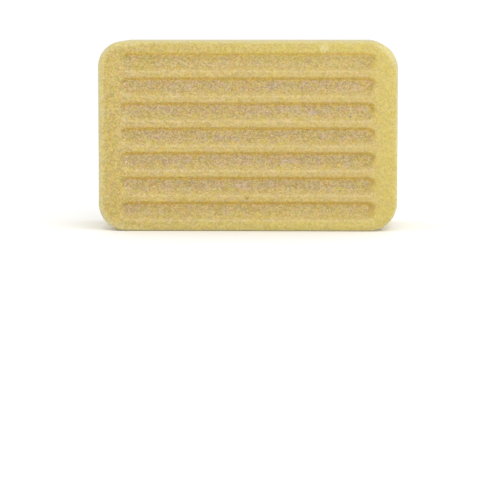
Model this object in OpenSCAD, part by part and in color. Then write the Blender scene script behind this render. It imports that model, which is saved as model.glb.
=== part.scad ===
// Moulded scrub bar: a hand-sized block, cast in one mould, standing on its long side.
// +Z is up and the grooved scrub face looks towards -Y. The origin is the middle of the
// footprint, on the surface that the bar stands on. All lengths are in millimetres.

/* [Bar] */
// Length of the bar, left to right
bar_length = 82; // [76:1:95]
// Height of the bar, standing on its long side
bar_height = 52; // [48:1:60]
// Depth of the bar, from the scrub face to the tip of the flash
bar_depth = 38; // [32:1:44]
// Radius of the four corners of the outline
corner_r = 7.6; // [6:0.1:9]
// Rounding of the edge around the scrub face
face_edge_r = 1.5; // [0.8:0.1:2]
// Rounding of the edge around the poured side
pour_edge_r = 0.8; // [0.4:0.1:1]

/* [Layers] */
// Thickness of the grit-rich layer behind the scrub face
grit_layer = 7; // [5:0.5:12]
// Thickness of the skin on the poured side
skin = 1.2; // [1.1:0.1:3]

/* [Grooves] */
// Number of grooves
groove_count = 7; // [5:1:7]
// Length of a groove
groove_length = 70.5; // [60:0.5:72]
// Width of a groove; flat lands fill what is left between them
groove_width = 5.6; // [4.6:0.1:5.8]
// Height of the flat border above the top groove
top_border = 2.8; // [2.5:0.1:4]
// Height of the flat border below the bottom groove
bottom_border = 2.8; // [2.5:0.1:4]
// Depth of a groove
groove_depth = 1.3; // [1:0.1:2]
// Depth of the upright part of a groove's long walls
upright = 0.2; // [0.1:0.1:0.5]
// How far a groove's long walls lean in below that, down to the floor
wall_lean = 1.2; // [0.6:0.1:1.3]
// Radius of a groove's four corners
groove_corner_r = 2; // [1:0.1:2.1]

/* [Flash] */
// How far the flash stands up from the poured side
flash_height = 0.8; // [0.4:0.1:1.2]
// Thickness of the flash
flash_width = 0.9; // [0.6:0.1:1.5]

/* [Grains] */
// Coarse grains along each groove
grains_per_groove = 12; // [6:1:15]
// Longest side of a pale grain
pale_size = 0.8; // [0.4:0.1:0.8]
// Longest side of a brown grain
brown_size = 0.6; // [0.4:0.1:0.8]
// Longest side of a clear grain
clear_size = 0.7; // [0.4:0.1:0.8]

/* [Hidden] */
$fn = 64;
eps = 0.01;

// Planes along Y
front_y = -bar_depth / 2;
body_y = front_y + grit_layer;
back_y = bar_depth / 2 - flash_height;
skin_y = back_y - skin;

// Grooves, stacked along Z between the two borders
stack_height = bar_height - top_border - bottom_border - groove_width;
groove_pitch = round(100 * stack_height / (groove_count - 1)) / 100;
floor_y = front_y + groove_depth;
function groove_z(row) = bottom_border + groove_width / 2 + row * groove_pitch;

// A burst air bubble on the land above the bottom groove
bubble_r = 0.45;
bubble_at = [-0.2, front_y, groove_z(0) + groove_pitch / 2];

// Gaps in the flash, as [centre, width] along each side
top_gaps = [[26.5, 11.5], [12.5, 5.5], [4.5, 2], [-4.5, 2]];
bottom_gaps = [[-20, 6], [14, 9]];
left_gaps = [[8, 4]];
right_gaps = [[-6, 7]];

// Grains: the three kinds take turns along the grooves. Each grain wanders off its even
// place by a wave of its groove and its number, and has its own tilt in degrees
kinds = 3;
grain_shape = [1, 0.8, 0.7];
grain_margin = 2.5;
grain_step = (groove_length - 2 * grain_margin) / (grains_per_groove - 1);
wander_x = 1.3;
wander_z = 0.8;
function wave(row, row_turn, k, k_turn) = sin(360 * (row_turn * row + k_turn * k));
function at_end(k) = k == 0 || k == grains_per_groove - 1;
function grain_x(row, k) = -groove_length / 2 + grain_margin + k * grain_step
    + (at_end(k) ? 0 : wander_x * wave(row, 0.755, k, 0.618));
function grain_dz(row, k) = wander_z * wave(row, 0.382, k, 0.570);
function grain_tilt(row, k) = [37 * k + 20, 53 * row + 15, 71 * (row + k)];

// Section of a slab from its straight edge outwards; the outer front edge is rounded
module rim_section(depth, edge_r) {
    difference() {
        square([corner_r, depth]);
        difference() {
            translate([corner_r - edge_r, -eps]) square([edge_r + eps, edge_r + eps]);
            translate([corner_r - edge_r, edge_r]) circle(edge_r);
        }
    }
}

// The bar's outline as a slab on the XY plane, its edge at z = 0 rounded by edge_r
module slab(depth, edge_r) {
    half_x = bar_length / 2 - corner_r;
    half_y = bar_height / 2 - corner_r;
    translate([-half_x, -half_y, 0]) cube([2 * half_x, 2 * half_y, depth]);
    for (turn = [0, 180]) {
        rotate(turn) translate([-half_x, half_y, 0]) rotate([90, 0, 90])
            linear_extrude(2 * half_x) rim_section(depth, edge_r);
        rotate(turn + 90) translate([-half_y, half_x, 0]) rotate([90, 0, 90])
            linear_extrude(2 * half_y) rim_section(depth, edge_r);
        rotate(turn) translate([half_x, half_y, 0])
            rotate_extrude(angle = 90) rim_section(depth, edge_r);
        rotate(turn) translate([-half_x, half_y, 0]) rotate(90)
            rotate_extrude(angle = 90) rim_section(depth, edge_r);
    }
}

// Plain rectangle with round corners
module round_rect(length, height, r) {
    square([length - 2 * r, height], center = true);
    square([length, height - 2 * r], center = true);
    for (x = [-1, 1], y = [-1, 1])
        translate([x * (length / 2 - r), y * (height / 2 - r)]) circle(r);
}

// A flat shape drawn as seen from the front, extruded from y to y + depth
module from_front(y, depth) {
    translate([0, y + depth, bar_height / 2]) rotate([90, 0, 0]) linear_extrude(depth) children();
}

// One groove: a flat floor between two leaning walls, with round corners at both ends
module groove(row) {
    lip = groove_width / 2;
    above_lip = lip + (1 + upright) * wall_lean / (groove_depth - upright);
    foot = lip - wall_lean;
    translate([0, 0, groove_z(row)]) intersection() {
        translate([0, 0, -bar_height / 2]) from_front(front_y - 1, 2 + groove_depth)
            round_rect(groove_length, groove_width, groove_corner_r);
        translate([-groove_length / 2 - 1, 0, 0]) rotate([90, 0, 90])
            linear_extrude(groove_length + 2)
                polygon([[front_y - 1, -above_lip], [floor_y, -foot],
                    [floor_y, foot], [front_y - 1, above_lip]]);
    }
}

// Every grain of one kind, an angular chip half sunk into a groove floor at its own tilt
module grains(kind, size) {
    for (row = [0 : groove_count - 1], k = [0 : grains_per_groove - 1])
        if ((row + k) % kinds == kind)
            translate([grain_x(row, k), floor_y, groove_z(row) + grain_dz(row, k)])
                rotate(grain_tilt(row, k)) cube(size * grain_shape, center = true);
}

// The whole rim of flash before it broke
module flash_ring() {
    outer_length = bar_length - 2 * pour_edge_r;
    outer_height = bar_height - 2 * pour_edge_r;
    from_front(back_y, flash_height) difference() {
        round_rect(outer_length, outer_height, corner_r - pour_edge_r);
        round_rect(outer_length - 2 * flash_width, outer_height - 2 * flash_width,
            corner_r - pour_edge_r - flash_width);
    }
}

// Blocks that cut gaps into the flash along a side at distance reach from the middle
module flash_gaps(gaps, reach) {
    for (gap = gaps)
        translate([gap[0] - gap[1] / 2, back_y - 1, reach - corner_r / 2])
            cube([gap[1], flash_height + 2, corner_r]);
}

module bar_body() {
    color([0.87, 0.81, 0.54])
        translate([0, body_y, bar_height / 2]) rotate([-90, 0, 0]) slab(skin_y - body_y, 0);
}

module scrub_face() {
    color([0.81, 0.71, 0.45]) difference() {
        translate([0, front_y, bar_height / 2]) rotate([-90, 0, 0]) slab(grit_layer, face_edge_r);
        for (row = [0 : groove_count - 1]) groove(row);
        grains(0, pale_size);
        grains(1, brown_size);
        grains(2, clear_size);
        translate(bubble_at) sphere(bubble_r);
    }
}

module pour_skin() {
    color([0.89, 0.84, 0.62])
        translate([0, back_y, bar_height / 2]) rotate([90, 0, 0]) slab(skin, pour_edge_r);
}

module edge_flash() {
    color([0.90, 0.85, 0.62]) difference() {
        flash_ring();
        translate([0, 0, bar_height / 2]) {
            flash_gaps(top_gaps, bar_height / 2);
            rotate([0, 180, 0]) flash_gaps(bottom_gaps, bar_height / 2);
            rotate([0, 90, 0]) flash_gaps(right_gaps, bar_length / 2);
            rotate([0, -90, 0]) flash_gaps(left_gaps, bar_length / 2);
        }
    }
}

module pale_grains() { color([0.90, 0.86, 0.76]) grains(0, pale_size); }
module brown_grains() { color([0.48, 0.33, 0.17]) grains(1, brown_size); }
module clear_grains() { color([0.93, 0.92, 0.86]) grains(2, clear_size); }

bar_body();
scrub_face();
pour_skin();
edge_flash();
pale_grains();
brown_grains();
clear_grains();
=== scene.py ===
"""A moulded scrub bar standing on its long side: a pale waxy block with a gritty, grooved face.

x runs along the bar, y from the scrub face (lowest) to the poured back (highest), z up.
The mesh code works in millimetres, and every object is handed to Blender in metres.
"""
import math

import bpy
import numpy as np
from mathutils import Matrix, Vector
from mathutils.bvhtree import BVHTree


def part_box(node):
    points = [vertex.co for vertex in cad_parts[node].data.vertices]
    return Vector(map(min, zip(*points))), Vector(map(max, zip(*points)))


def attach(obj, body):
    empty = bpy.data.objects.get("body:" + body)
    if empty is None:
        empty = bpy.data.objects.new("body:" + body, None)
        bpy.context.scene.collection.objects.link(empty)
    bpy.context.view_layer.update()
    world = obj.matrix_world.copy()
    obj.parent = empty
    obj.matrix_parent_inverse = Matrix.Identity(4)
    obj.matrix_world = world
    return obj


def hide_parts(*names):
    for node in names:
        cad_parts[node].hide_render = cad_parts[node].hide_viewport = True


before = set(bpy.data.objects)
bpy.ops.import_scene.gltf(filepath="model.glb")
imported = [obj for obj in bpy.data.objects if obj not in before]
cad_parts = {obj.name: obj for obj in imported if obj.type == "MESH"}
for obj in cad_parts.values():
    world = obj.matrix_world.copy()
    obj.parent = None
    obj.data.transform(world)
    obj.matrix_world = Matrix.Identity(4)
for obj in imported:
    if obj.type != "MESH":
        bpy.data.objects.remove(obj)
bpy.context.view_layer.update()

MM = 0.001
BODY = "root"

# ---- Places, read from the frame, in millimetres ----


def corners(node):
    """Lowest and highest corner of a CAD node, in millimetres."""
    low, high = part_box(node)
    return np.array(low) / MM, np.array(high) / MM


FACE_LOW, FACE_HIGH = corners("scrub_face")
LENGTH = FACE_HIGH[0] - FACE_LOW[0]
HEIGHT = FACE_HIGH[2] - FACE_LOW[2]
FACE_Y = FACE_LOW[1]
BODY_Y = FACE_HIGH[1]
SKIN_Y = corners("pour_skin")[0][1]
POUR_Y = corners("pour_skin")[1][1]
RIM_TIP_Y = corners("edge_flash")[1][1]

# ---- Shape of the casting ----
CORNER_RADII = (7.6, 7.9, 7.7, 7.0)  # lower left, lower right, upper right, upper left
FACE_EDGE = 1.5      # rounding around the scrub face
POUR_EDGE = 0.9      # rounding around the poured side
SIDE_SINK = 0.02     # how far the cast sides stay inside the CAD outline
FACE_SINK = 0.16     # how far the lands stay behind the CAD face, so that grit may stand on them
FACE_STEP = 0.225    # spacing of the scrub face's vertices
BLOCK_STEP = 0.5     # spacing of the smooth body's vertices
BACK_STEP = 0.4      # spacing of the poured side's vertices
RIM_STEP = 0.2       # spacing of the rim's vertices along the edge
EDGE_RINGS = 9       # rings of vertices over the rounding around the scrub face
BAND_RINGS = 10      # rings over the cast side of the gritty layer
BLOCK_RINGS = 60     # rings over the smooth body
POUR_RINGS = 7       # rings over the rounding around the poured side

# ---- Shape of a groove ----
UPPER_RUN = 1.05     # run of the wall under the upper lip, from lip to floor
TOP_RISE = 0.55      # how much shallower the top groove is at its upper wall, as a share
LOWER_RUN = 2.2      # run of the wall above the lower lip
END_SHARE = 0.6      # run of a groove's long wall, as a share of the run of its end walls
GROOVE_CORNER = 1.7  # corner radius of a groove's lip
GROOVE_DROP = 0.08   # how far the worn groove lies below the CAD's sharp one
LIP_SPREAD = 0.04    # how far the worn lip reaches outside the CAD's sharp one
FLOOR_HOLLOW = 0.08  # extra depth in the middle of the floor, as a share


# ---- Noise ----

def lattice(cell, seed):
    """A fixed random number from -1 to 1 for each whole-numbered cell (n, 3)."""
    wave = np.sin(cell @ np.array([127.1, 311.7, 74.7]) + 13.7 * seed) * 43758.5453
    return 2 * (wave - np.floor(wave)) - 1


def value_noise(points, size, seed):
    """Smooth noise from -1 to 1 at points (n, 3), with features of about size."""
    cell = np.floor(points / size)
    part = smooth(points / size - cell)
    total = np.zeros(len(points))
    for dx in (0, 1):
        for dy in (0, 1):
            for dz in (0, 1):
                step = np.array([dx, dy, dz])
                weight = np.abs(1 - step - part).prod(1)
                total += weight * lattice(cell + step, seed)
    return total


def smooth(t):
    """Smooth step from 0 to 1."""
    t = np.clip(t, 0, 1)
    return t * t * (3 - 2 * t)


# ---- Outline of the bar, seen from the front ----

def corner_centre(corner):
    """Centre of one of the outline's four corner arcs."""
    sx = (-1, 1, 1, -1)[corner]
    sz = (-1, -1, 1, 1)[corner]
    radius = CORNER_RADII[corner]
    return np.array([sx * (LENGTH / 2 - radius), HEIGHT / 2 + sz * (HEIGHT / 2 - radius)])


def outline_side(side, count):
    """Points (x, z) and outward normals along one side, from the middle of a corner to the next."""
    first, last = side, (side + 1) % 4
    r_first, r_last = CORNER_RADII[first], CORNER_RADII[last]
    start = math.radians(225 + 90 * side)
    middle = start + math.pi / 4
    facing = np.array([math.cos(middle), math.sin(middle)])
    from_point = corner_centre(first) + r_first * facing
    to_point = corner_centre(last) + r_last * facing
    straight = np.linalg.norm(to_point - from_point)
    arc_first, arc_last = r_first * math.pi / 4, r_last * math.pi / 4
    along = np.linspace(0, arc_first + straight + arc_last, count + 1)
    angle = np.where(along < arc_first, start + along / r_first,
                     middle + np.maximum(along - arc_first - straight, 0) / r_last)
    normals = np.stack([np.cos(angle), np.sin(angle)], 1)
    share = np.clip((along - arc_first) / straight, 0, 1)[:, None]
    radius = np.where(share < 1, r_first, r_last)
    base = from_point + share * (to_point - from_point) - radius * facing
    return base + radius * normals, normals


class Outline:
    """The bar's outline at a vertex spacing: a closed ring, and a grid that fills it."""

    def __init__(self, step):
        self.across = round((LENGTH - 2) / step)
        self.up = round((HEIGHT - 2) / step)
        counts = (self.across, self.up, self.across, self.up)
        self.sides = [outline_side(side, counts[side]) for side in range(4)]
        self.ring = np.vstack([points[:-1] for points, _ in self.sides])
        self.normals = np.vstack([normals[:-1] for _, normals in self.sides])

    def inset(self, distance):
        """The ring moved inwards."""
        return self.ring - distance * self.normals

    def grid(self, distance):
        """Points (across + 1, up + 1, 2) that fill the ring moved inwards by distance."""
        bottom, right, top, left = [p - distance * n for p, n in self.sides]
        top, left = top[::-1], left[::-1]
        u = np.linspace(0, 1, self.across + 1)[:, None, None]
        v = np.linspace(0, 1, self.up + 1)[None, :, None]
        edges = ((1 - v) * bottom[:, None] + v * top[:, None]
                 + (1 - u) * left[None] + u * right[None])
        twice = ((1 - u) * (1 - v) * bottom[0] + u * (1 - v) * bottom[-1]
                 + (1 - u) * v * top[0] + u * v * top[-1])
        return edges - twice

    def grid_rim(self):
        """Index in the flattened grid of each vertex of the ring."""
        number = np.arange((self.across + 1) * (self.up + 1)).reshape(self.across + 1, self.up + 1)
        return np.concatenate([number[:-1, 0], number[-1, :-1], number[:0:-1, -1], number[0, :0:-1]])


def inside_round_rect(past_x, past_z, radius):
    """Distance in from a round rectangle's edge, given how far past a corner's centre a point is."""
    outwards = np.hypot(np.maximum(past_x, 0), np.maximum(past_z, 0))
    return radius - outwards - np.minimum(np.maximum(past_x, past_z), 0)


def depth_inside(x, z):
    """Distance from the outline to a point inside it."""
    up = z - HEIGHT / 2
    corner = np.where(up > 0, np.where(x > 0, 2, 3), np.where(x > 0, 1, 0))
    radius = np.array(CORNER_RADII)[corner]
    past_x = np.abs(x) - (LENGTH / 2 - radius)
    past_z = np.abs(up) - (HEIGHT / 2 - radius)
    return inside_round_rect(past_x, past_z, radius)


# ---- Grooves, read from the CAD face ----

def cad_tree(node):
    """Search tree of a CAD node's mesh."""
    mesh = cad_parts[node].data
    return BVHTree.FromPolygons([v.co for v in mesh.vertices], [p.vertices for p in mesh.polygons])


def runs(places, inside):
    """Start and end of each unbroken run of places that are inside."""
    flags = np.concatenate([[False], inside, [False]])
    starts = np.flatnonzero(~flags[:-1] & flags[1:])
    ends = np.flatnonzero(flags[:-1] & ~flags[1:]) - 1
    return [(places[a], places[b]) for a, b in zip(starts, ends)]


def read_grooves():
    """Centre heights, half width, half length and depth of the CAD's grooves."""
    tree = cad_tree("scrub_face")
    probe_step, lip, border = 0.05, 0.1, 2

    def cad_depth(x, z):
        hit = tree.ray_cast(Vector((x, FACE_Y - 1, z)) * MM, Vector((0, 1, 0)))[0]
        return 0 if hit is None else hit.y / MM - FACE_Y

    probe_x = LENGTH / 10
    heights = np.arange(border, HEIGHT - border, probe_step)
    rows = runs(heights, np.array([cad_depth(probe_x, z) > lip for z in heights]))
    centres = [(a + b) / 2 for a, b in rows]
    half_width = (rows[0][1] - rows[0][0]) / 2
    lengths = np.arange(border - LENGTH / 2, LENGTH / 2 - border, probe_step)
    line = runs(lengths, np.array([cad_depth(x, centres[0]) > lip for x in lengths]))[0]
    return centres, half_width, (line[1] - line[0]) / 2, cad_depth(probe_x, centres[0])


GROOVE_Z, GROOVE_HALF_WIDTH, GROOVE_HALF_LENGTH, GROOVE_DEPTH = read_grooves()


def across_groove(z):
    """Height above the middle of the nearest groove, in millimetres."""
    offsets = np.stack([z + GROOVE_DROP - centre for centre in GROOVE_Z])
    nearest = np.abs(offsets).argmin(0)
    return np.take_along_axis(offsets, nearest[None], 0)[0]


def past_groove_corner(x, z):
    """How far past the centre of the nearest groove's corner a point is, along and across."""
    along = (np.abs(x) - GROOVE_HALF_LENGTH) * END_SHARE + GROOVE_CORNER
    across = np.abs(across_groove(z)) - GROOVE_HALF_WIDTH + GROOVE_CORNER
    return along, across


def inside_lip(x, z):
    """Distance in from the nearest groove's lip, in millimetres; below 0 outside."""
    return inside_round_rect(*past_groove_corner(x, z), GROOVE_CORNER + LIP_SPREAD)


def floor_share(x, z):
    """0 at a groove's lip, 1 where its floor starts; below 0 outside the lip, above 1 further in."""
    above = smooth(across_groove(z) / GROOVE_HALF_WIDTH + 0.5)
    return inside_lip(x, z) / (LOWER_RUN + above * (UPPER_RUN - LOWER_RUN))


def top_amount(z):
    """1 at the upper wall of the top groove and above it, 0 at the grooves below."""
    return smooth((z - GROOVE_Z[-1]) / GROOVE_HALF_WIDTH)


def face_y(x, z):
    """The face's own y at (x, z), without its sandy relief."""
    middle = 1 - np.clip(np.abs(across_groove(z)) / GROOVE_HALF_WIDTH, 0, 1) ** 2
    depth = GROOVE_DEPTH * (1 + FLOOR_HOLLOW * middle) * (1 - TOP_RISE * top_amount(z))
    groove = depth * smooth(floor_share(x, z))
    rise = np.clip(FACE_EDGE - depth_inside(x, z) + SIDE_SINK, 0, FACE_EDGE)
    edge = FACE_EDGE - np.sqrt(FACE_EDGE ** 2 - rise ** 2)
    return FACE_Y + FACE_SINK + groove + edge


# ---- Mesh building ----

class Shell:
    """Collects the vertices and faces of one closed mesh, in millimetres."""

    def __init__(self):
        self.points, self.faces, self.flat = [], [], []
        self.count = 0

    def add(self, points):
        """Adds points (n, 3) and returns their numbers."""
        self.points.append(points)
        self.count += len(points)
        return np.arange(self.count - len(points), self.count)

    def grid(self, numbers):
        """Quads over a two-dimensional array of point numbers."""
        quads = np.stack([numbers[:-1, :-1], numbers[1:, :-1], numbers[1:, 1:], numbers[:-1, 1:]], -1)
        self.faces += quads.reshape(-1, 4).tolist()

    def sleeve(self, ring, next_ring):
        """Quads between two closed rings of point numbers."""
        quads = np.stack([ring, next_ring, np.roll(next_ring, -1), np.roll(ring, -1)], 1)
        self.faces += quads.tolist()

    def extend(self, ring, points):
        """Joins a closed ring of point numbers to a new ring of points, and returns its numbers."""
        next_ring = self.add(points)
        self.sleeve(ring, next_ring)
        return next_ring

    def cap(self, ring):
        """One flat face that closes a ring."""
        self.flat.append(len(self.faces))
        self.faces.append(ring.tolist())

    def all_points(self):
        """Every point of the shell (n, 3)."""
        return np.vstack(self.points)


def make_object(name, points, faces, flat=(), smooth_faces=True):
    """A mesh object from points in millimetres."""
    mesh = bpy.data.meshes.new(name)
    mesh.from_pydata((points * MM).tolist(), [], faces)
    shading = np.full(len(faces), smooth_faces)
    shading[list(flat)] = False
    mesh.polygons.foreach_set("use_smooth", shading)
    for number in flat:
        for loop in mesh.polygons[number].loop_indices:
            mesh.edges[mesh.loops[loop].edge_index].use_edge_sharp = True
    mesh.update()
    piece = bpy.data.objects.new(name, mesh)
    bpy.context.scene.collection.objects.link(piece)
    return piece


def paint(piece, name, values):
    """Stores one number per vertex, for the materials."""
    layer = piece.data.attributes.new(name, "FLOAT", "POINT")
    layer.data.foreach_set("value", np.asarray(values, np.float32))


def padded(values, count):
    """values with zeros added after them, count in all."""
    return np.concatenate([values, np.zeros(count - len(values))])


def at_depth(flat_points, y):
    """(x, z) points placed at y."""
    return np.column_stack([flat_points[:, 0], np.full(len(flat_points), y), flat_points[:, 1]])


def side_sink(points):
    """How far the cast sides lie inside the CAD outline: a slow waviness."""
    return SIDE_SINK * (1 + 0.5 * value_noise(points, 9, 11) + 0.3 * value_noise(points, 3.5, 12))


def side_ring(outline, y):
    """A ring of the cast side at y."""
    sink = side_sink(at_depth(outline.ring, y))
    return at_depth(outline.ring - sink[:, None] * outline.normals, y)


# ---- The scrub face ----
PIT_RADIUS = 0.42                                  # the burst air bubble
PIT_AT = (-0.2, (GROOVE_Z[0] + GROOVE_Z[1]) / 2)   # on the land above the bottom groove
SMEAR_AT = (20.9, HEIGHT - 1.6)                    # a smear of clean wax on the top border
SMEAR_SIZE = (1.5, 1.3)
WORN_CORNER = (LENGTH / 2 - 3, HEIGHT - 3.5)       # the corner that is rubbed clean
WORN_NEAR = 1        # how far around that point the clean edge has its full extra width
WORN_FAR = 6         # and where the last of the extra width ends
CLEAN_EDGE = 1.1     # width of the clean edge around the sandy layer
CLEAN_LEFT = 1.3     # how much wider it is at the left end
LEFT_STARTS = -25    # x at which it starts to widen towards the left
LEFT_FADE = 12       # over what length it widens
CLEAN_CORNER = 1.6   # how much wider it is at the worn corner
LAND_GRIT = 0.12     # how grey the lands are, against a groove floor in the middle
FLOOR_GRIT = 0.38    # how grey the groove floors are near the bar's edge
MOST_RELIEF = 0.14   # the furthest that sand stands out or leaves a hole


def smear_clear(x, z):
    """0 in the little smear of clean wax, 1 elsewhere."""
    away = np.hypot((x - SMEAR_AT[0]) / SMEAR_SIZE[0], (z - SMEAR_AT[1]) / SMEAR_SIZE[1])
    return smooth((away - 0.6) / 0.6)


def centre_amount(x, z):
    """0 at the bar's edge, 1 well inside, where more sand has settled."""
    return smooth((depth_inside(x, z) - 2) / 12)


def cover_amount(x, z):
    """How far the sandy layer covers the wax: less at the outer edge, a worn corner and the smear."""
    away = np.hypot(x - WORN_CORNER[0], z - WORN_CORNER[1])
    corner = 1 - smooth((away - WORN_NEAR) / (WORN_FAR - WORN_NEAR))
    left = smooth((LEFT_STARTS - x) / LEFT_FADE)
    fade = CLEAN_EDGE + CLEAN_LEFT * left + CLEAN_CORNER * corner
    return smooth(depth_inside(x, z) / fade) * (0.5 + 0.5 * smear_clear(x, z))


def grit_amount(x, z):
    """How grey with sand the face is: most on the groove floors, least on the borders."""
    centre = centre_amount(x, z)
    land = LAND_GRIT * centre
    floor = FLOOR_GRIT + (1 - FLOOR_GRIT) * centre
    # less sand on the lower wall is part of the painted light there
    in_groove = smooth(floor_share(x, z) * 1.1) * (1 - 0.75 * painted_light_lower_wall(x, z))
    return (land + (floor - land) * in_groove) * smear_clear(x, z)


def wall_facing(x, z):
    """Which way the nearest groove wall lies: to the right, and upwards, as a unit vector."""
    past_x, past_z = past_groove_corner(x, z)
    in_corner = (past_x > 0) & (past_z > 0)
    along = np.where(in_corner, past_x, (past_x > past_z) * 1.0) * np.sign(x)
    up = np.where(in_corner, past_z, (past_x <= past_z) * 1.0) * np.sign(across_groove(z))
    return along / np.hypot(along, up), up / np.hypot(along, up)


def painted_shade_under_lip(x, z):
    """1 on the wall under a groove's upper lip: painted shade, weaker on the top groove."""
    inside = inside_lip(x, z)
    along, up = wall_facing(x, z)
    wall = smooth((inside - 0.05) / 0.3) * (1 - smooth((inside - 0.6) / 0.9))
    return np.clip(up + 0.35 * along, 0, 1) * wall * (1 - 0.2 * top_amount(z))


def lower_lip_highlight(x, z):
    """1 on a groove's lower lip, whose crest faces up: a painted highlight, pale."""
    inside = inside_lip(x, z)
    crest = smooth((inside + 0.15) / 0.25) * (1 - smooth((inside - 0.15) / 0.5))
    return np.clip(-wall_facing(x, z)[1], 0, 1) * crest


def painted_light_lower_wall(x, z):
    """1 on the wall above a groove's lower lip, which faces up: painted light, paler and with less sand.
    """
    inside = inside_lip(x, z)
    wall = smooth(inside / 0.3) * (1 - smooth((inside - 0.5) / 2.3))
    return np.clip(-wall_facing(x, z)[1], 0, 1) * wall


def pit(x, z):
    """Depth of the burst air bubble."""
    return np.sqrt(np.maximum(PIT_RADIUS ** 2 - (x - PIT_AT[0]) ** 2 - (z - PIT_AT[1]) ** 2, 0))


def sandy_relief(points, amount, seed):
    """Height of the fine sand standing out of the surface."""
    rng = np.random.default_rng(seed)
    fine = rng.uniform(-1, 1, len(points))
    soft = value_noise(points, 0.5, seed + 1)
    broad = value_noise(points, 1.7, seed + 2)
    return amount * (0.030 * fine + 0.035 * soft + 0.030 * broad)


def add_face(shell, outline):
    """Adds the grooved face, with its sand and its burst bubble, and returns its x and z."""
    x, z = outline.grid(FACE_EDGE + SIDE_SINK).reshape(-1, 2).T
    face = np.column_stack([x, face_y(x, z) + pit(x, z), z])
    relief = sandy_relief(face, 0.35 + 0.65 * grit_amount(x, z), 21)
    face[:, 1] -= np.clip(relief, -MOST_RELIEF, MOST_RELIEF)
    numbers = shell.add(face)
    shell.grid(numbers.reshape(outline.across + 1, outline.up + 1))
    return x, z


def add_face_edge(shell, outline):
    """Adds the rounded edge around the face, and returns its last ring."""
    ring = outline.grid_rim()
    for turn in np.linspace(0, math.pi / 2, EDGE_RINGS)[1:]:
        y = FACE_Y + FACE_SINK + FACE_EDGE * (1 - math.cos(turn))
        points = at_depth(outline.inset(FACE_EDGE * (1 - math.sin(turn))), y)
        lift = sandy_relief(points, 0.30 * (1 - turn / 2), 22)
        inward = np.maximum(side_sink(points) * math.sin(turn) - lift, 0.0)
        points[:, [0, 2]] -= (inward * math.sin(turn))[:, None] * outline.normals
        points[:, 1] += inward * math.cos(turn)
        ring = shell.extend(ring, points)
    return ring


def paint_face(piece, shell, x, z):
    """Stores what the sandy material needs to know; the face's own points come first."""
    place = shell.all_points()[:, [0, 2]].T
    paint(piece, "cover", cover_amount(*place))
    paint(piece, "centre", centre_amount(*place))
    # under, worn and lower carry painted shade under the upper lip, a painted highlight on the lower
    # lip's crest and painted light on the lower wall
    on_face = {"grit": grit_amount(x, z), "worn": lower_lip_highlight(x, z), "under": painted_shade_under_lip(x, z),
               "lower": painted_light_lower_wall(x, z), "pit": smooth(pit(x, z) / PIT_RADIUS)}
    for name, values in on_face.items():
        paint(piece, name, padded(values, shell.count))


def build_scrub_face():
    """The gritty front layer: grooved face, rounded edge, and a band of the cast side."""
    outline = Outline(FACE_STEP)
    shell = Shell()
    x, z = add_face(shell, outline)
    ring = add_face_edge(shell, outline)
    for y in np.linspace(FACE_Y + FACE_SINK + FACE_EDGE, BODY_Y, BAND_RINGS)[1:]:
        ring = shell.extend(ring, side_ring(outline, y))
    shell.cap(ring[::-1])
    piece = make_object("gritty_face", shell.all_points(), shell.faces, shell.flat)
    paint_face(piece, shell, x, z)
    return piece


# ---- The smooth block ----

def build_block():
    """The smooth cast body between the gritty layer and the poured skin."""
    outline = Outline(BLOCK_STEP)
    shell = Shell()
    ring = shell.add(side_ring(outline, BODY_Y))
    shell.cap(ring)
    for y in np.linspace(BODY_Y, SKIN_Y, BLOCK_RINGS)[1:]:
        ring = shell.extend(ring, side_ring(outline, y))
    shell.cap(ring[::-1])
    return make_object("cast_block", shell.all_points(), shell.faces, shell.flat)


# ---- The poured side ----
RIPPLE = 0.10                 # how far the poured surface dips and swells
MENISCUS_RUN = 3.0            # how far in the surface climbs towards the mould wall
MENISCUS_CLIMB = 0.45         # how far it climbs
RIM_INSET = POUR_EDGE + 0.35  # how far in the middle of the flash stands
GAP_SHADE_REACH = 0.9              # how far from there the painted amber shade reaches


def pour_surface_y(x, z):
    """The poured surface: slow ripples, climbing to the edge."""
    points = np.column_stack([x, np.zeros(len(x)), z])
    ripple = 0.6 * value_noise(points, 11, 31) + 0.3 * value_noise(points, 4.5, 32)
    ripple += 0.1 * value_noise(points, 1.2, 33)
    climb = np.clip(1 - (depth_inside(x, z) - POUR_EDGE) / MENISCUS_RUN, 0, 1) ** 2
    return POUR_Y - (MENISCUS_CLIMB + RIPPLE * (1 - ripple)) * (1 - climb)


def flash_stands(flat_points):
    """Whether the CAD's flash stands over each (x, z) point of the poured side."""
    tree = cad_tree("edge_flash")
    back = Vector((0, -1, 0))
    above = [Vector((x, RIM_TIP_Y + 1, z)) * MM for x, z in flat_points]
    return np.array([tree.ray_cast(point, back)[0] is not None for point in above])


def gap_shade_amount(points):
    """Up to 1 along the rim where the flash has broken away: painted amber shade in the gap."""
    off_rim = np.abs(depth_inside(points[:, 0], points[:, 2]) - RIM_INSET)
    gap_shade = np.zeros(len(points))
    near = np.flatnonzero((off_rim < GAP_SHADE_REACH) & (points[:, 1] > SKIN_Y))
    gone = ~flash_stands(points[near][:, [0, 2]])
    gap_shade[near] = gone * (1 - smooth(off_rim[near] / GAP_SHADE_REACH))
    return gap_shade


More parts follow.
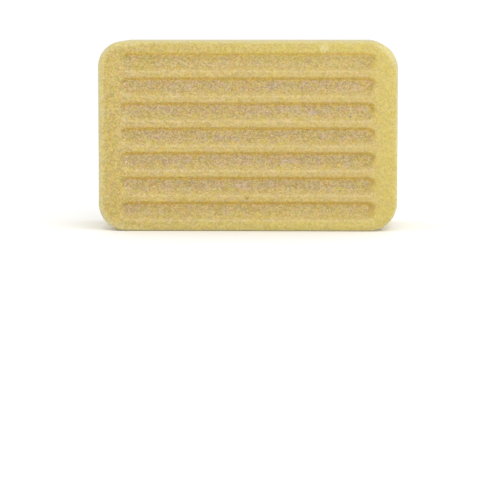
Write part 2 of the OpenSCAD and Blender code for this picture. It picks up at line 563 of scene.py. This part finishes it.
def build_pour_skin():
    """The paler skin on the poured side."""
    outline = Outline(BACK_STEP)
    shell = Shell()
    x, z = outline.grid(POUR_EDGE + SIDE_SINK).reshape(-1, 2).T
    numbers = shell.add(np.column_stack([x, pour_surface_y(x, z), z]))
    shell.grid(numbers.reshape(outline.across + 1, outline.up + 1)[::-1])
    rings = [outline.grid_rim()]
    for turn in np.linspace(0, math.pi / 2, POUR_RINGS)[1:]:
        y = POUR_Y - POUR_EDGE * (1 - math.cos(turn))
        points = at_depth(outline.inset(POUR_EDGE * (1 - math.sin(turn))), y)
        sink = side_sink(points) * math.sin(turn)
        points[:, [0, 2]] -= sink[:, None] * outline.normals
        rings.append(shell.add(points))
    rings.append(shell.add(side_ring(outline, SKIN_Y)))
    for ring, next_ring in zip(rings[:-1], rings[1:]):
        shell.sleeve(next_ring, ring)
    shell.cap(rings[-1])
    piece = make_object("poured_skin", shell.all_points(), shell.faces, shell.flat)
    paint(piece, "gap_shade", gap_shade_amount(shell.all_points()))
    return piece


# ---- The broken rim ----
SHORTEST_STRETCH = 6          # vertices in the shortest stretch of rim that is built


def rim_stretches(outline):
    """Numbers of the outline's vertices along each stretch where the CAD's flash stands."""
    standing = flash_stands(outline.inset(RIM_INSET))
    first_gap = int(np.flatnonzero(~standing)[0])
    order = np.roll(np.arange(len(standing)), -first_gap)
    found = runs(np.arange(len(order)), standing[order])
    stretches = [order[first:last + 1] for first, last in found]
    return [along for along in stretches if len(along) >= SHORTEST_STRETCH]


def rim_height(place):
    """Height of the lip along a stretch: torn, and falling away towards both ends."""
    numbers = np.arange(len(place))
    to_end = np.minimum(numbers, numbers[::-1]) * RIM_STEP
    torn = 0.5 + 0.5 * value_noise(place, 2.8, 41) + 0.2 * value_noise(place, 0.7, 42)
    return (RIM_TIP_Y - POUR_Y) * np.clip(torn, 0.12, 1) * smooth(0.25 + to_end / 0.9)


def rim_block(outline, along):
    """Points (n, 6, 3) of one standing stretch: its section, as inset and level, at each vertex.

    A level of 1 is the rim's own height there, and below 0 it is millimetres into the skin.
    """
    place = at_depth(outline.ring[along], 0)
    height = rim_height(place)
    outer = POUR_EDGE - 0.22 + 0.05 * value_noise(place, 3.0, 43)
    inner = outer + 0.62 + 0.12 * value_noise(place, 2.2, 44)
    lean = 0.07 * value_noise(place, 2.3, 45)
    section = [(outer, -0.35), (outer + 0.03, 0.45), (outer + 0.12 + lean, 0.98),
               (outer + 0.30 + lean, 0.96), (inner - 0.12, 0.4), (inner + 0.12, -0.35)]
    lines = []
    for inset, level in section:
        flat = outline.ring[along] - inset[:, None] * outline.normals[along]
        y = POUR_Y + level * (height if level > 0 else np.ones(len(along)))
        lines.append(np.column_stack([flat[:, 0], y, flat[:, 1]]))
    return np.stack(lines, 1)


def build_rim():
    """The thin lip around the poured side, where the CAD's flash still stands."""
    outline = Outline(RIM_STEP)
    shell = Shell()
    for along in rim_stretches(outline):
        block = rim_block(outline, along)
        numbers = shell.add(block.reshape(-1, 3)).reshape(block.shape[:2])
        for ring, next_ring in zip(numbers[:-1], numbers[1:]):
            shell.sleeve(next_ring, ring)
        shell.cap(numbers[0, ::-1])
        shell.cap(numbers[-1])
    return make_object("broken_rim", shell.all_points(), shell.faces, shell.flat)


# ---- Grit ----
# A chip starts as an icosahedron of radius 1
GOLDEN = (1 + 5 ** 0.5) / 2
CHIP_POINTS = np.array([(0, a, b * GOLDEN) for a in (-1, 1) for b in (-1, 1)]
                       + [(a, b * GOLDEN, 0) for a in (-1, 1) for b in (-1, 1)]
                       + [(b * GOLDEN, 0, a) for a in (-1, 1) for b in (-1, 1)])
CHIP_POINTS /= math.hypot(1, GOLDEN)
GRAIN_MARGIN = 0.9   # how far inside the outline the scattered grains stay
GRAIN_FRONT = 0.005  # how far behind the CAD face the foremost grain stays
COARSE_SIZE = 1.9    # size of a coarse grain, against its kind's usual radius
LARGEST_SIZE = 2.0   # size of the largest grain, likewise


def chip_faces():
    """The 20 faces of an icosahedron over CHIP_POINTS, all facing outwards."""
    reach = np.linalg.norm(CHIP_POINTS[:, None] - CHIP_POINTS[None], axis=2)
    edge = reach[reach > 0].min() * 1.01
    near = (reach < edge) & (reach > 0)
    faces = []
    for a in range(12):
        for b in range(a + 1, 12):
            for c in range(b + 1, 12):
                if near[a, b] and near[b, c] and near[a, c]:
                    pa, pb, pc = CHIP_POINTS[[a, b, c]]
                    outward = np.dot(np.cross(pb - pa, pc - pa), pa + pb + pc) > 0
                    faces.append((a, b, c) if outward else (a, c, b))
    return np.array(faces)


def turned(rng, count):
    """Random rotation matrices."""
    q = rng.normal(size=(count, 4))
    w, x, y, z = (q / np.linalg.norm(q, axis=1)[:, None]).T
    return np.stack([np.stack([1 - 2 * (y * y + z * z), 2 * (x * y - z * w), 2 * (x * z + y * w)], 1),
                     np.stack([2 * (x * y + z * w), 1 - 2 * (x * x + z * z), 2 * (y * z - x * w)], 1),
                     np.stack([2 * (x * z - y * w), 2 * (y * z + x * w), 1 - 2 * (x * x + y * y)], 1)], 1)


def coarse_places(node):
    """(x, z) of the CAD's own coarse grains, each of which is a box of 24 mesh corners."""
    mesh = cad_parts[node].data
    box_corners = np.array([v.co for v in mesh.vertices]) / MM
    return box_corners.reshape(-1, 24, 3).mean(1)[:, [0, 2]]


def glint_grain_places(rng, count):
    """(x, z) of pale grains at the left end of each groove but the first and last: grains that also serve
    as painted glints.
    """
    centres = np.repeat(GROOVE_Z[1:-1], count)
    x = 1.6 - GROOVE_HALF_LENGTH + rng.normal(0, 0.35, len(centres))
    return np.column_stack([x, centres + rng.normal(0, 0.7, len(centres))])


def grain_places(rng, node, count, glint_count):
    """(x, z) of one kind of grain: the coarse ones, then a scatter; and how many are coarse."""
    tries = count * 6
    x = rng.uniform(-LENGTH / 2, LENGTH / 2, tries)
    z = rng.uniform(0, HEIGHT, tries)
    chance = 0.25 + 0.75 * grit_amount(x, z)
    keep = (depth_inside(x, z) > GRAIN_MARGIN) & (rng.uniform(0, 1, tries) < chance)
    coarse = np.vstack([coarse_places(node), glint_grain_places(rng, glint_count)])
    scatter = np.column_stack([x, z])[keep][:count]
    return np.vstack([coarse, scatter]), len(coarse)


def grain_shapes(rng, size):
    """Points (n, 12, 3) of an angular chip of each size, each uneven and turned its own way."""
    total = len(size)
    shapes = CHIP_POINTS[None] * rng.uniform(0.7, 1.1, (total, 12, 1))
    shapes = shapes * rng.uniform(0.6, 1.0, (total, 1, 3))
    return np.einsum("nij,nkj->nki", turned(rng, total), shapes) * size[:, None, None]


def build_grains(name, node, count, radius, seed, spread=0.28, glint_count=0):
    """Many small angular chips, half sunk into the face: the CAD's coarse ones and a scatter."""
    rng = np.random.default_rng(seed)
    places, coarse = grain_places(rng, node, count, glint_count)
    x, z = places.T
    total = len(places)
    size = radius * np.exp(rng.normal(0, spread, total))
    size[:coarse] = radius * COARSE_SIZE
    size = np.minimum(size, radius * LARGEST_SIZE)
    tint = rng.uniform(0, 1, total) ** 1.5
    tint[:coarse] = 1
    most_proud = 0.05 + 0.3 * smooth(floor_share(x, z))
    proud = np.minimum(size * rng.uniform(0.05, 0.65, total), most_proud)
    y = face_y(x, z) - proud + size * 0.8
    points = grain_shapes(rng, size) + np.stack([x, y, z], 1)[:, None]
    points[:, :, 1] = np.maximum(points[:, :, 1], FACE_Y + GRAIN_FRONT)
    faces = (chip_faces()[None] + 12 * np.arange(total)[:, None, None]).reshape(-1, 3)
    piece = make_object(name, points.reshape(-1, 3), faces.tolist(), smooth_faces=False)
    paint(piece, "tint", np.repeat(tint, 12))
    return piece


# ---- Materials ----
SAND_REACH = 19      # how far behind the scrub face the last fine sand lies


class Material:
    """A node material with a Principled shader, and short calls that add nodes to it."""

    def __init__(self, name):
        self.material = bpy.data.materials.new(name)
        self.material.use_nodes = True
        self.tree = self.material.node_tree
        self.shader = self.tree.nodes["Principled BSDF"]
        place = self.node("ShaderNodeTexCoord").outputs["Object"]
        self.place = self.vector_math("MULTIPLY", place, (1000, 1000, 1000))

    def node(self, kind, **settings):
        """A new node of a kind, with its settings."""
        made = self.tree.nodes.new(kind)
        for key, value in settings.items():
            setattr(made, key, value)
        return made

    def put(self, socket, value):
        """Links value to socket if it is an output, or sets it."""
        if isinstance(value, bpy.types.NodeSocket):
            self.tree.links.new(value, socket)
        else:
            socket.default_value = value

    def vector_math(self, operation, a, b):
        """A sum or product of two vectors."""
        made = self.node("ShaderNodeVectorMath", operation=operation)
        self.put(made.inputs[0], a)
        self.put(made.inputs[1], b)
        return made.outputs[0]

    def math(self, operation, a, b):
        """A sum, difference or product of two numbers."""
        made = self.node("ShaderNodeMath", operation=operation)
        self.put(made.inputs[0], a)
        self.put(made.inputs[1], b)
        return made.outputs[0]

    def band(self, value, low, high, to_low=0.0, to_high=1.0):
        """value from low..high mapped to to_low..to_high, clamped."""
        made = self.node("ShaderNodeMapRange")
        for name, given in (("Value", value), ("From Min", low), ("From Max", high),
                            ("To Min", to_low), ("To Max", to_high)):
            self.put(made.inputs[name], given)
        return made.outputs["Result"]

    def mix(self, share, a, b, blend="MIX"):
        """Colour a mixed with colour b."""
        made = self.node("ShaderNodeMix", data_type="RGBA", blend_type=blend)
        self.put(made.inputs["Factor"], share)
        for socket, colour in ((made.inputs["A"], a), (made.inputs["B"], b)):
            self.put(socket, (*colour, 1) if isinstance(colour, tuple) else colour)
        return made.outputs["Result"]

    def noise(self, size, detail=2.0, rough=0.5):
        """Noise with features of size millimetres, around 0.5."""
        made = self.node("ShaderNodeTexNoise")
        self.put(made.inputs["Vector"], self.place)
        self.put(made.inputs["Scale"], 1 / size)
        self.put(made.inputs["Detail"], detail)
        self.put(made.inputs["Roughness"], rough)
        return made.outputs["Fac"]

    def cells(self, size, output="Color"):
        """Voronoi cells of size millimetres: a random colour each, or the distance to its middle."""
        made = self.node("ShaderNodeTexVoronoi")
        self.put(made.inputs["Vector"], self.place)
        self.put(made.inputs["Scale"], 1 / size)
        return made.outputs[output]

    def channel(self, colour, which):
        """The Red, Green or Blue of a colour."""
        made = self.node("ShaderNodeSeparateColor")
        self.put(made.inputs[0], colour)
        return made.outputs[which]

    def painted(self, name):
        """A number stored on the mesh's vertices."""
        return self.node("ShaderNodeAttribute", attribute_name=name).outputs["Fac"]

    def axis(self, name):
        """One coordinate of the place, in millimetres."""
        made = self.node("ShaderNodeSeparateXYZ")
        self.put(made.inputs[0], self.place)
        return made.outputs[name]

    def depth_behind_face(self):
        """Distance behind the scrub face, in millimetres."""
        return self.math("SUBTRACT", self.axis("Y"), float(FACE_Y))

    def bump(self, height, distance, strength):
        """height in units of distance millimetres."""
        made = self.node("ShaderNodeBump")
        self.put(made.inputs["Height"], height)
        self.put(made.inputs["Distance"], distance * MM)
        self.put(made.inputs["Strength"], strength)
        self.put(self.shader.inputs["Normal"], made.outputs["Normal"])

    def finish(self, colour, roughness):
        """Gives the shader its colour and roughness, and returns the material."""
        self.put(self.shader.inputs["Base Color"], colour)
        self.put(self.shader.inputs["Roughness"], roughness)
        return self.material


# Wax: its two tones, the set skin, painted sheen at the edge of the scrub face, and painted amber shade
# where the rim broke
WAX = (0.540, 0.455, 0.168)
WAX_DEEP = (0.505, 0.412, 0.135)
WAX_PALE = (0.610, 0.540, 0.280)
WAX_EDGE_SHEEN = (0.520, 0.453, 0.205)
GAP_SHADE_AMBER = (0.330, 0.200, 0.045)

# The sandy layer: its border, its middle, painted light on a groove's lower wall, painted shade on its
# upper wall, and painted shade in the burst bubble
BORDER = (0.428, 0.336, 0.079)
BORDER_LEFT_SHADE = (0.390, 0.289, 0.076)
MIDDLE = (0.412, 0.304, 0.091)
LOWER_WALL_LIGHT = (0.450, 0.341, 0.121)
UNDER_LIP_SHADE = (0.545, 0.370, 0.074)
PIT_SHADE = (0.330, 0.260, 0.020)

# Sand, from the usual grain to the glassy and the darkest ones
SAND = (0.366, 0.268, 0.115)
SAND_DARK = (0.250, 0.165, 0.060)
SAND_PALE = (0.520, 0.436, 0.255)
QUARTZ = (0.850, 0.800, 0.655)
SPECK = (0.180, 0.105, 0.038)

# Tints that multiply a colour: one grain against the next, yellow against grey, rosy against green
GRAIN_DARK = (0.75, 0.73, 0.64)
GRAIN_LIGHT = (1.25, 1.27, 1.36)
HUE_YELLOW = (1.00, 1.00, 0.77)
HUE_GREY = (1.00, 1.00, 1.23)
HUE_ROSY = (1.05, 0.97, 1.00)
HUE_GREEN = (0.95, 1.03, 1.00)


def sandy(m, colour, strength):
    """colour broken up by fine sand: each grain has its own tone, and patches their own hue."""
    grain = m.mix(m.channel(m.cells(0.37), "Red"), GRAIN_DARK, GRAIN_LIGHT)
    hue = m.mix(m.band(m.noise(1.1, 1), 0.3, 0.7), HUE_YELLOW, HUE_GREY)
    wide = m.mix(m.band(m.noise(2.6, 1), 0.3, 0.7), HUE_YELLOW, HUE_GREY)
    blush = m.mix(m.band(m.noise(1.7, 2), 0.3, 0.7), HUE_ROSY, HUE_GREEN)
    for tint in (grain, hue, wide, blush):
        colour = m.mix(strength, colour, m.mix(1.0, colour, tint, "MULTIPLY"))
    return colour


def wax_colour(m):
    """The cast wax: greyer with painted sheen at the face's edge, with fine sand that thins out behind
    the face.
    """
    colour = m.mix(m.band(m.noise(14, 3), 0.35, 0.65), WAX_DEEP, WAX)
    behind = m.depth_behind_face()
    # painted sheen on the rounding around the scrub face
    at_face = m.band(behind, FACE_EDGE * 0.7, FACE_EDGE * 2.5, 0.8, 0)
    colour = m.mix(at_face, colour, WAX_EDGE_SHEEN)
    near = m.band(behind, 0.5, SAND_REACH, 0.75, 0)
    return sandy(m, colour, m.math("MULTIPLY", near, near))


def wax_material():
    """The smooth cast body."""
    m = Material("cast_wax")
    m.bump(m.noise(0.8, 4), 0.05, 0.25)
    return m.finish(wax_colour(m), m.band(m.noise(5, 3), 0.3, 0.7, 0.42, 0.55))


def land_colour(m):
    """The face between the grooves: its border has painted shade at the left and painted light at the
    foot.
    """
    # painted shade at the left end, away from the light
    border = m.mix(m.band(m.axis("X"), -38, 25), BORDER_LEFT_SHADE, BORDER)
    # painted light at the foot
    border = m.mix(m.band(m.axis("Z"), 1, 5, 0.13, 0), border, WAX_EDGE_SHEEN)
    return m.mix(m.band(m.painted("centre"), 0, 0.6), border, MIDDLE)


def grit_material():
    """Sand in wax: where the mesh says grit the sand shows, elsewhere the wax covers it."""
    m = Material("sand_in_wax")
    grit = m.painted("grit")
    sand = m.math("MULTIPLY", grit, m.band(m.noise(1.1, 1), 0.3, 0.6, 0.7, 1.0))
    colour = m.mix(sand, land_colour(m), SAND)
    # lower is painted light on the lower wall, under is painted shade under the upper lip, worn is a
    # painted highlight on the lower lip
    for name, most, tone in (("lower", 0.9, LOWER_WALL_LIGHT), ("under", 0.8, UNDER_LIP_SHADE), ("worn", 0.08, SAND_PALE)):
        colour = m.mix(m.math("MULTIPLY", m.painted(name), most), colour, tone)
    border_sand = m.band(m.axis("X"), -38, 38, 0.85, 0.5)
    colour = sandy(m, colour, m.band(grit, 0, 0.9, border_sand, 1.05))
    # painted shade, darkest where the burst bubble is deepest
    colour = m.mix(m.painted("pit"), colour, PIT_SHADE)
    colour = m.mix(m.painted("cover"), wax_colour(m), colour)
    m.bump(m.noise(0.3, 4, 0.6), 0.10, m.band(grit, 0, 1, 0.4, 0.8))
    return m.finish(colour, m.band(grit, 0, 1, 0.5, 0.75))


def skin_material():
    """The set skin: cloudy, with tiny bubbles, and painted amber shade where the rim has broken away."""
    m = Material("set_skin")
    colour = m.mix(m.band(m.noise(12, 3), 0.25, 0.75, 0.2, 0.8), WAX, WAX_PALE)
    bubbles = m.band(m.cells(1.3, "Distance"), 0.05, 0.13, 1, 0)
    colour = m.mix(m.math("MULTIPLY", bubbles, 0.4), colour, WAX_DEEP)
    patchy = m.band(m.noise(2.4, 1), 0.35, 0.6, 0.1, 0.6)
    # painted amber shade in the gaps where the rim broke away
    colour = m.mix(m.math("MULTIPLY", m.painted("gap_shade"), patchy), colour, GAP_SHADE_AMBER)
    m.bump(m.math("SUBTRACT", m.noise(0.9, 4), m.math("MULTIPLY", bubbles, 0.6)), 0.08, 0.4)
    return m.finish(colour, m.band(m.noise(2, 3), 0.3, 0.7, 0.38, 0.58))


def rim_material():
    """The torn rim: the skin's colours in a finer mottle, and rougher."""
    m = Material("broken_wax")
    colour = m.mix(m.band(m.noise(0.8, 4), 0.3, 0.7), WAX, WAX_PALE)
    m.bump(m.noise(0.3, 4), 0.08, 0.6)
    return m.finish(colour, m.band(m.noise(0.5, 2), 0.3, 0.7, 0.45, 0.7))


def grain_material(name, dark, light, roughness):
    """A grain's colour goes from dark to light by its own tint, with a fine mottle."""
    m = Material(name)
    colour = m.mix(m.painted("tint"), dark, light)
    colour = m.mix(m.band(m.noise(0.12, 2), 0.3, 0.7, 0, 0.3), colour, dark)
    m.bump(m.noise(0.1, 3), 0.03, 0.5)
    return m.finish(colour, roughness)


# ---- The object ----

def fit(piece, material, slot, *nodes):
    """Gives a piece its material and body, and hides the CAD nodes that it stands for; slot is not used.
    """
    piece.data.materials.append(material)
    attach(piece, BODY)
    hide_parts(*nodes)


fit(build_scrub_face(), grit_material(), "grit_layer", "scrub_face")
fit(build_block(), wax_material(), "cast_body", "bar_body")
fit(build_pour_skin(), skin_material(), "pour_skin", "pour_skin")
fit(build_rim(), rim_material(), "pour_skin", "edge_flash")
fit(build_grains("pale_sand", "pale_grains", count=7000, radius=0.14, seed=51),
    grain_material("pale_sand", SAND, SAND_PALE, 0.6), "pale_grit", "pale_grains")
fit(build_grains("brown_sand", "brown_grains", count=1800, radius=0.12, seed=52, spread=0.42),
    grain_material("brown_sand", SPECK, SAND_DARK, 0.55), "brown_grit", "brown_grains")
# three pale clear grains at each groove's left end serve as painted glints
fit(build_grains("clear_sand", "clear_grains", count=3500, radius=0.13, seed=53, glint_count=3),
    grain_material("clear_sand", SAND, QUARTZ, 0.25), "clear_grit", "clear_grains")


# ---- Floor, light and camera ----
FLOOR_REACH = 20               # metres from the bar to the floor's edges
FLOOR_TONES = (0.955, 0.97)    # darkest and palest grey of the floor
SURROUND_HEIGHTS = (0.1, 0.9)  # sine of the elevation at which the surround starts and ends fading
SURROUND_TONES = (1.15, 1.0)   # its strength below the first and above the second
KEY_POWER = 3.2                # watts
KEY_SIZE = 0.6                 # metres
KEY_PLACE = (0.25, -0.67, 0.34)              # metres
LENS = 179.3                                 # millimetres, on the sensor below
SENSOR = 36
CAMERA_PLACE = (18.0, FACE_Y - 680, 60.7)    # millimetres
CAMERA_AIM = (0.65, FACE_Y, -5.1)


def build_floor():
    """A plain, nearly white floor."""
    points = np.array([(-1, -1, 0), (1, -1, 0), (1, 1, 0), (-1, 1, 0)]) * FLOOR_REACH / MM
    floor = make_object("floor", points, [[0, 1, 2, 3]])
    m = Material("pale_floor")
    low, high = FLOOR_TONES
    colour = m.mix(m.noise(60, 2), (low, low, low), (high, high, high))
    floor.data.materials.append(m.finish(colour, 0.6))
    m.shader.inputs["Specular IOR Level"].default_value = 0.2


def build_surround():
    """A white surround that is brightest at the horizon."""
    world = bpy.data.worlds.new("studio")
    bpy.context.scene.world = world
    world.use_nodes = True
    tree = world.node_tree
    background = tree.nodes["Background"]
    direction = tree.nodes.new("ShaderNodeTexCoord")
    split = tree.nodes.new("ShaderNodeSeparateXYZ")
    fall = tree.nodes.new("ShaderNodeMapRange")
    tree.links.new(direction.outputs["Generated"], split.inputs[0])
    tree.links.new(split.outputs["Z"], fall.inputs["Value"])
    fall.inputs["From Min"].default_value, fall.inputs["From Max"].default_value = SURROUND_HEIGHTS
    fall.inputs["To Min"].default_value, fall.inputs["To Max"].default_value = SURROUND_TONES
    tree.links.new(fall.outputs["Result"], background.inputs["Strength"])
    background.inputs["Color"].default_value = (1, 1, 1, 1)


def add_to_scene(name, data, place, aim):
    """A light or camera at place, turned to look at aim."""
    holder = bpy.data.objects.new(name, data)
    bpy.context.scene.collection.objects.link(holder)
    holder.location = place
    holder.rotation_mode = "QUATERNION"
    holder.rotation_quaternion = (aim - place).to_track_quat("-Z", "Y")
    return holder


def build_key():
    """One soft key light from the upper right."""
    key = bpy.data.lights.new("key", "AREA")
    key.energy = KEY_POWER
    key.size = KEY_SIZE
    add_to_scene("key", key, Vector(KEY_PLACE), Vector((0, 0, 0)))


def build_camera():
    """A long lens, a little above the bar and to its right."""
    camera = bpy.data.cameras.new("camera")
    camera.lens = LENS
    camera.sensor_width = SENSOR
    camera.clip_start = 0.01
    camera.clip_end = 100
    place, aim = Vector(CAMERA_PLACE) * MM, Vector(CAMERA_AIM) * MM
    bpy.context.scene.camera = add_to_scene("camera", camera, place, aim)


build_floor()
build_surround()
build_key()
build_camera()
bpy.context.scene.view_settings.view_transform = "Standard"
